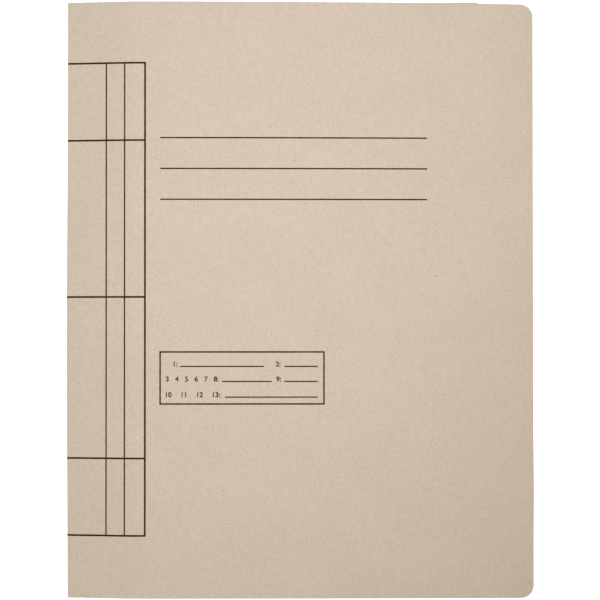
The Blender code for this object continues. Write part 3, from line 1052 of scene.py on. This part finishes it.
class FOLDER_OT_ruled_frame(Operator):
    """Prints the ruled frame that runs from the back cover round the spine on to the front cover."""

    bl_idname = "folder.ruled_frame"
    bl_label = "Ruled Frame"

    def execute(self, context):
        s = context.scene.folder_print
        board = FoldedBoard(context)
        back, margin, front = board_stations(board)
        top, half = board.spine_height, s.heavy_line / 2
        rows = (s.frame_top, s.upper_row, s.middle_row, s.lower_row, s.frame_bottom)
        uprights = (
            (-s.back_reach, s.heavy_line),
            (top + s.frame_width, s.heavy_line),
            (top + s.second_column, s.fine_line),
            (top + s.first_column, s.fine_line),
        )
        parts = (
            ("back_frame_print", back, -s.back_reach - half, board.spine_seam, "spine_fold"),
            ("spine_frame_print", margin, board.spine_seam, board.margin_seam, "cover_fold"),
            ("cover_frame_print", front, board.margin_seam, top + s.frame_width + half, "soft_crease_fold"),
        )
        for name, stations, low, high, fold in parts:
            film = InkFilm(context)
            for y in rows:
                film.line(along_u(low, high, y, stations), s.heavy_line, layer=1)
            for u, width in uprights:
                if low <= u < high:
                    film.line(along_y(u, s.frame_bottom, s.frame_top), width)
            fold_with_body(film.make(name), fold)
        return {"FINISHED"}


class FOLDER_OT_writing_rules(Operator):
    """Prints the three long writing rules on the front cover."""

    bl_idname = "folder.writing_rules"
    bl_label = "Writing Rules"

    count = 3

    def execute(self, context):
        s = context.scene.folder_print
        film = InkFilm(context)
        front = board_stations(film.board)[2]
        low, high = film.board.at_x(s.rule_left), film.board.at_x(s.rule_right)
        for row in range(self.count):
            film.line(along_u(low, high, s.rule_top - row * s.rule_pitch, front), s.fine_line)
        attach(film.make("writing_rules_print"), "cover")
        return {"FINISHED"}


class FOLDER_OT_small_form(Operator):
    """Prints the small form: a box, five rules to write on and a plain number before each of them."""

    bl_idname = "folder.small_form"
    bl_label = "Small Form"

    # Each entry has its numbers, how wide the spaces between them are and its row. Then come the ends of its
    # rule and the start of its numbers, as shares of the box's width.
    entries = (
        ("1:", 1.0, 0, 0.124, 0.634, 0.083),
        ("2:", 1.0, 0, 0.758, 0.962, 0.705),
        ("3 4 5 6 7 8:", 3.1, 1, 0.378, 0.680, 0.035),
        ("9:", 1.0, 1, 0.758, 0.962, 0.708),
        ("10 11 12 13:", 4.4, 2, 0.395, 0.962, 0.035),
    )
    row_places = (0.278, 0.567, 0.869)
    box_weight = 1.1
    rule_weight = 0.9

    def execute(self, context):
        s = context.scene.folder_print
        film = InkFilm(context)
        front = board_stations(film.board)[2]
        left, right = film.board.at_x(s.rule_left), film.board.at_x(s.rule_left + s.form_width)
        top, bottom = s.form_top, s.form_top - s.form_height
        box_line = s.fine_line * self.box_weight
        for y in (top, bottom):
            film.line(along_u(left - box_line / 2, right + box_line / 2, y, front), box_line, layer=1)
        for u in (left, right):
            film.line(along_y(u, bottom, top), box_line)
        for text, spaces, row, *shares in self.entries:
            y = top - s.form_height * self.row_places[row]
            start, end, first = (left + part * s.form_width for part in shares)
            film.line(along_u(start, end, y, front), s.fine_line * self.rule_weight)
            film.shape(*number_shape(text, s.number_height, spaces), first, y)
        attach(film.make("small_form_print"), "cover")
        return {"FINISHED"}


def number_shape(text, height, spaces):
    """Points and faces of numbers in Blender's own plain font, with a depth from 0 to 1."""
    weld, boldness = 0.00001, 0.03
    letters = bpy.data.curves.new("number", "FONT")
    letters.body = text
    letters.extrude = 0.5
    letters.space_word = spaces
    letters.resolution_u = 4
    holder = bpy.data.objects.new("number", letters)
    bpy.context.scene.collection.objects.link(holder)
    bpy.context.view_layer.update()
    mesh = bpy.data.meshes.new_from_object(holder.evaluated_get(bpy.context.evaluated_depsgraph_get()))
    shape = bmesh.new()
    shape.from_mesh(mesh)
    bmesh.ops.remove_doubles(shape, verts=shape.verts, dist=weld)
    shape.verts.index_update()
    shape.normal_update()
    for vertex in shape.verts:
        vertex.co.xy += vertex.normal.xy.normalized() * boldness
    places = [vertex.co.copy() for vertex in shape.verts]
    left = min(place.x for place in places)
    scale = height / max(place.y for place in places)
    points = [((place.x - left) * scale, place.y * scale, place.z + letters.extrude) for place in places]
    faces = [tuple(vertex.index for vertex in face.verts) for face in shape.faces]
    shape.free()
    bpy.data.objects.remove(holder)
    bpy.data.curves.remove(letters)
    bpy.data.meshes.remove(mesh)
    return points, faces


# Fastener


class FOLDER_OT_filing_strip(Operator):
    """Builds the board strip pasted over the fastener's base, with its pressed rib and two holes."""

    bl_idname = "folder.filing_strip"
    bl_label = "Filing Strip"

    columns = 110

    def execute(self, context):
        low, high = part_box("filing_strip")
        half, half_length = (high.x - low.x) / 2, (high.y - low.y) / 2
        paste, corner = 0.000005, 0.003
        flange = BACK_HIGH.z + BOARD / 2 + paste
        rise = high.z - BOARD / 2 - flange
        rib_top, rib_foot = 0.0052, 0.0068
        rib_end, rib_slope = PRONG_Y + 0.0065, 0.005

        def raised(u, y):
            side = ease((rib_foot - abs(u - half)) / (rib_foot - rib_top))
            return rise * side * ease((rib_end + rib_slope - abs(y)) / rib_slope)

        def half_width(u):
            return half_length - corner_inset(min(u, 2 * half - u), corner)

        corners = (((low.x, 0, flange), 0), ((high.x, 0, flange), 0))
        strip = BentStrip(corners, (0, 1, 0), half_width, raised, BOARD, BOARD_ROUNDING)
        clear = 0.0002
        half_run = corner_places(corner, SMALL_CORNER_STEPS)[:-1]
        half_run += run((corner, 5), (half - rib_foot - clear, 10), (half - rib_top + clear, 4), (half, 1))
        stations = mirrored(half_run, 2 * half)
        shares = column_shares(2 * half_length, self.columns)
        piece = sheet_object("filing_strip_board", strip, stations, shares)
        hole = eyelet_sizes()[1] + 0.0003
        for y in (PRONG_Y, -PRONG_Y):
            cut(piece, prism("hole", circle((FASTENER_X, y), hole), BACK_HIGH.z, high.z + BOARD))
        dress(piece, board_material(context), "manila_board", "back", "filing_strip")
        return {"FINISHED"}


def eyelet_sizes():
    """Inner radius, barrel radius and flange radius of the eyelets."""
    low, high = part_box("eyelet_top")
    wall, flange_reach = 0.00025, 0.0017
    flange = (high.x - low.x) / 2
    barrel = flange - flange_reach
    return barrel - wall, barrel, flange


class FOLDER_OT_eyelets(Operator):
    """Builds the two brass eyelets with rolled flanges."""

    bl_idname = "folder.eyelets"
    bl_label = "Eyelets"

    def execute(self, context):
        s = context.scene.folder_fastener
        brass = shared_material("Brass", metal_look, s.brass, roughness=0.42, streak=0.15, scratch=0.3)
        inner, barrel, flange = eyelet_sizes()
        # Each place stands on a radius, moved out by the second number, and lies under the top by the third.
        rolled = (
            (inner, 0.0, 0.00045),
            (inner, 0.00002, 0.00026),
            (inner, 0.00010, 0.00012),
            (inner, 0.00028, 0.00004),
            (barrel, 0.00045, 0.00002),
            (flange, -0.00050, 0.0),
            (flange, -0.00018, 0.00001),
            (flange, -0.00004, 0.00005),
            (flange, 0.0, 0.00013),
            (flange, -0.00003, 0.00021),
            (flange, -0.00012, 0.00025),
            (barrel, 0.00008, 0.00025),
            (barrel, 0.0, 0.00030),
        )
        for name in ("eyelet_top", "eyelet_bottom"):
            low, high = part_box(name)
            profile = [(radius + out, high.z - under) for radius, out, under in rolled]
            profile += [(barrel, low.z), (inner, low.z)]
            points = turned_points(profile, box_middle(name), TURNED_STEPS)
            faces = tube_faces(len(profile), TURNED_STEPS, is_closed=True)
            piece = mesh_object(f"{name}_ring", points, faces)
            dress(piece, brass, "brass", "back", name)
        return {"FINISHED"}


class FOLDER_OT_prong_strip(Operator):
    """Builds the tinplate strip whose two tongues come up through the eyelets and lie folded over the bar."""

    bl_idname = "folder.prong_strip"
    bl_label = "Prong Strip"

    # Shares of the width, with the number of columns from each to the next
    column_stops = ((0.0, 2), (0.04, 3), (0.25, 12), (0.75, 3), (0.96, 2), (1.0, 1))

    def execute(self, context):
        s = context.scene.folder_fastener
        low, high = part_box("prong_strip")
        base, top = low.z + TINPLATE / 2, high.z - TINPLATE / 2
        reach = high.y - TINPLATE / 2
        tip = reach - s.prong_fold
        tongue, base_half = s.prong_width / 2, (high.x - low.x) / 2
        tip_radius, neck = 0.0020, 0.003
        rib_from_tip, rib_from_bend, rib_end = 0.003, 0.002, 0.002
        rib_foot, rib_slope, clear = 0.0009, 0.0006, 0.0005
        top_bend = s.prong_fold
        low_bend = top_bend + top - base
        middle = low_bend + reach
        whole = 2 * middle

        def half_width(u):
            from_tip = min(u, whole - u)
            rounded = corner_inset(min(from_tip, tip_radius), tip_radius)
            wider = ease((reach - neck - abs(u - middle)) / neck)
            return tongue - rounded + (base_half - tongue) * wider

        def raised(u, across):
            from_tip = min(u, whole - u)
            start = ease((from_tip - rib_from_tip) / rib_end)
            end = ease((top_bend - rib_from_bend - from_tip) / rib_end)
            return s.tongue_rib * start * end * ease((rib_foot - abs(across)) / rib_slope)

        path = ((-tip, top, 0), (-reach, top, TIN_BEND), (-reach, base, TIN_BEND))
        corners = [((FASTENER_X, y, z), bend) for y, z, bend in path]
        corners += [((FASTENER_X, -y, z), bend) for y, z, bend in reversed(path)]
        strip = BentStrip(corners, (-1, 0, 0), half_width, raised)
        half_run = corner_places(tip_radius, SMALL_CORNER_STEPS)[:-1]
        half_run += run(
            (tip_radius, 5),
            (rib_from_tip + rib_end + clear, 20),
            (top_bend - rib_from_bend - rib_end - clear, 5),
            (top_bend - TIN_BEND, 6),
            (top_bend + TIN_BEND, 3),
            (low_bend - TIN_BEND, 6),
            (low_bend + TIN_BEND, 4),
            (low_bend + neck, 6),
            (low_bend + 2 * neck, 1),
        )
        stations = mirrored(half_run, whole)
        piece = sheet_object("prong_strip_tin", strip, stations, run(*self.column_stops))
        tin = shared_material("Tinplate", metal_look, s.tinplate, roughness=0.42, streak=0.5, scratch=0.6)
        dress(piece, tin, "tinplate", "back", "prong_strip")
        return {"FINISHED"}


def channel_corners(y, left_half):
    """A path's corners on both sides of the fastener, from those on the left as (distance out, z, bend)."""
    corners = [((FASTENER_X - out, y, z), bend) for out, z, bend in left_half]
    return corners + [((FASTENER_X + out, y, z), bend) for out, z, bend in reversed(left_half)]


def drawn_ends(whole, half_length, draw, reach):
    """Half widths of a channel whose ends are cut back by its sides, at most by draw and over this reach."""

    def half_width(u):
        from_side = min(u, whole - u)
        return half_length - draw * (1 - ease(from_side / reach)) ** 2

    return half_width


class FOLDER_OT_compressor_bar(Operator):
    """Builds the channel bar with its two pressed beads and a slot for each tongue."""

    bl_idname = "folder.compressor_bar"
    bl_label = "Compressor Bar"

    columns = 96

    def execute(self, context):
        s = context.scene.folder_fastener
        low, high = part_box("compressor_bar")
        floor, edge = low.z + TINPLATE / 2, (high.x - low.x) / 2 - TINPLATE / 2
        rim = high.z - floor
        half_length = (high.y - low.y) / 2
        whole = 2 * rim + 2 * edge
        bead_place, bead_half, bead_from_end, bead_slope = 0.0044, 0.0009, 0.0035, 0.0025
        by_bead, past_bead = rim + 0.0009, rim + 0.0030

        def raised(u, y):
            from_bead = abs(abs(u - whole / 2) - bead_place)
            ends = ease((half_length - bead_from_end - abs(y)) / bead_slope)
            return s.bead_height * ends * ease((bead_half - from_bead) / bead_half)

        corners = channel_corners(0, ((edge, high.z, 0), (edge, floor, TIN_BEND)))
        half_width = drawn_ends(whole, half_length, draw=0.0022, reach=rim + 0.0012)
        bar = BentStrip(corners, (0, 1, 0), half_width, raised)
        half_run = run(
            (0.0, 2),
            (rim - TIN_BEND, 5),
            (rim + TIN_BEND, 2),
            (by_bead, 12),
            (past_bead, 3),
            (whole / 2, 1),
        )
        shares = column_shares(2 * half_length, self.columns)
        piece = sheet_object("bar_plate", bar, mirrored(half_run, whole), shares)
        play, depth = 0.0004, 0.001
        wide, deep = s.prong_width / 2 + play, TINPLATE / 2 + play
        slot = ((-wide, -deep), (wide, -deep), (wide, deep), (-wide, deep))
        for y in (PRONG_Y, -PRONG_Y):
            outline = [(FASTENER_X + x, y + along) for x, along in slot]
            cut(piece, prism("slot", outline, floor - depth, floor + depth))
        dress(piece, plated_steel(context), "plated_steel", "back", "compressor_bar")
        return {"FINISHED"}


class FOLDER_OT_sliders(Operator):
    """Builds the two sliding clips, bent round the bar's edges and ridged for the thumb."""

    bl_idname = "folder.sliders"
    bl_label = "Sliders"

    ridges = (-0.0024, -0.0008, 0.0008, 0.0024)
    # Shares of the length, with the number of columns from each to the next
    column_stops = ((0.0, 2), (0.03, 6), (0.19, 48), (0.81, 6), (0.97, 2), (1.0, 1))

    def execute(self, context):
        for name in ("slider_top", "slider_bottom"):
            piece = self.make_clip(context.scene.folder_fastener, name)
            dress(piece, plated_steel(context), "plated_steel", name, name)
        return {"FINISHED"}

    def make_clip(self, s, name):
        low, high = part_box(name)
        edge = (high.x - low.x) / 2 - TINPLATE / 2
        lip_z, top_z = low.z + TINPLATE / 2, high.z - TINPLATE / 2
        lip = 0.0013
        corner = lip + top_z - lip_z
        middle = corner + edge
        whole = 2 * middle
        grip_half, grip_slope, ridge_half = 0.0046, 0.0010, 0.00055

        def raised(u, across):
            from_ridge = min(abs(across - place) for place in self.ridges)
            ends = ease((grip_half - abs(u - middle)) / grip_slope)
            return s.grip_height * ends * ease((ridge_half - from_ridge) / ridge_half)

        left_half = ((edge - lip, lip_z, 0), (edge, lip_z, TIN_BEND), (edge, top_z, TIN_BEND))
        corners = channel_corners(box_middle(name).y, left_half)
        half_width = drawn_ends(whole, (high.y - low.y) / 2, draw=0.0008, reach=lip + 0.0005)
        clip = BentStrip(corners, (0, 1, 0), half_width, raised)
        half_run = run(
            (0.0, 3),
            (lip - TIN_BEND, 5),
            (lip + TIN_BEND, 4),
            (corner - TIN_BEND, 5),
            (corner + TIN_BEND, 4),
            (middle - grip_half, 5),
            (middle - grip_half + grip_slope, 6),
            (middle, 1),
        )
        return sheet_object(f"{name}_clip", clip, mirrored(half_run, whole), run(*self.column_stops))


# Stage


class FOLDER_OT_stage(Operator):
    """Sets the floor, the lights and the camera."""

    bl_idname = "folder.stage"
    bl_label = "Stage"

    def execute(self, context):
        s = context.scene.folder_stage
        self.make_floor(s)
        self.make_lights(context, s)
        self.make_camera(context, s)
        context.scene.view_settings.view_transform = "Standard"
        return {"FINISHED"}

    def make_floor(self, s):
        """A round floor that curves up into a wall all round."""
        steps, turns = 20, 96
        profile = [(s.floor_radius * part, -s.floor_drop) for part in (0.1, 0.3, 0.6, 1.0)]
        for step in range(1, steps + 1):
            climb = math.pi / 2 * step / steps
            radius = s.floor_radius + s.wall_radius * math.sin(climb)
            profile.append((radius, s.wall_radius * (1 - math.cos(climb)) - s.floor_drop))
        points = turned_points(profile, (0.0, 0.0), turns)
        floor = mesh_object("studio_floor", points, [tuple(range(turns))] + tube_faces(len(profile), turns))
        floor.data.materials.append(shared_material("Studio floor", floor_look, s))

    def make_lights(self, context, s):
        light = bpy.data.lights.new("Key light", "AREA")
        light.energy = s.key_power
        light.size = s.key_size
        light.color = s.key_colour
        key = bpy.data.objects.new("Key light", light)
        key.location = (s.key_x, s.key_y, s.key_height)
        facing = Vector((s.key_aim_x, s.key_aim_y, 0)) - key.location
        key.rotation_euler = facing.to_track_quat("-Z", "Y").to_euler()
        key.visible_camera = False
        context.scene.collection.objects.link(key)
        world = bpy.data.worlds.new("Studio")
        world.use_nodes = True
        background = {"Color": scaled(s.fill_colour), "Strength": s.fill}
        feed(world.node_tree, world.node_tree.nodes["Background"], background)
        context.scene.world = world

    def make_camera(self, context, s):
        lens = bpy.data.cameras.new("Camera")
        lens.sensor_width = 36.0
        lens.lens = s.camera_lens
        lens.clip_start = 0.01
        camera = bpy.data.objects.new("Camera", lens)
        lean = Vector((0, -math.sin(s.camera_tilt), math.cos(s.camera_tilt)))
        camera.location = Vector((s.aim_x, s.aim_y, 0)) + lean * s.camera_distance
        camera.rotation_euler = (s.camera_tilt, 0.0, s.camera_roll)
        context.scene.collection.objects.link(camera)
        context.scene.camera = camera


# Panel and registration

OPERATORS = (
    FOLDER_OT_board,
    FOLDER_OT_ruled_frame,
    FOLDER_OT_writing_rules,
    FOLDER_OT_small_form,
    FOLDER_OT_filing_strip,
    FOLDER_OT_eyelets,
    FOLDER_OT_prong_strip,
    FOLDER_OT_compressor_bar,
    FOLDER_OT_sliders,
    FOLDER_OT_stage,
)
SETTINGS = {
    "folder_board": FOLDER_PG_board,
    "folder_print": FOLDER_PG_print,
    "folder_fastener": FOLDER_PG_fastener,
    "folder_stage": FOLDER_PG_stage,
}


class FOLDER_PT_looks(Panel):
    """Lists the settings and the steps that build the folder."""

    bl_idname = "FOLDER_PT_looks"
    bl_label = "File Folder"
    bl_space_type = "VIEW_3D"
    bl_region_type = "UI"
    bl_category = "File Folder"

    def draw(self, context):
        for name, group in SETTINGS.items():
            box = self.layout.box()
            box.label(text=group.__doc__)
            for setting in group.__annotations__:
                box.prop(getattr(context.scene, name), setting)
        for operator in OPERATORS:
            self.layout.operator(operator.bl_idname)


def register():
    for group in SETTINGS.values():
        bpy.utils.register_class(group)
    for name, group in SETTINGS.items():
        setattr(bpy.types.Scene, name, PointerProperty(type=group))
    for operator in OPERATORS:
        bpy.utils.register_class(operator)
    bpy.utils.register_class(FOLDER_PT_looks)


def unregister():
    bpy.utils.unregister_class(FOLDER_PT_looks)
    for operator in reversed(OPERATORS):
        bpy.utils.unregister_class(operator)
    for name in SETTINGS:
        delattr(bpy.types.Scene, name)
    for group in reversed(list(SETTINGS.values())):
        bpy.utils.unregister_class(group)


def main():
    register()
    bpy.ops.folder.board()
    bpy.ops.folder.ruled_frame()
    bpy.ops.folder.writing_rules()
    bpy.ops.folder.small_form()
    bpy.ops.folder.filing_strip()
    bpy.ops.folder.eyelets()
    bpy.ops.folder.prong_strip()
    bpy.ops.folder.compressor_bar()
    bpy.ops.folder.sliders()
    bpy.ops.folder.stage()


if __name__ == "__main__":
    main()
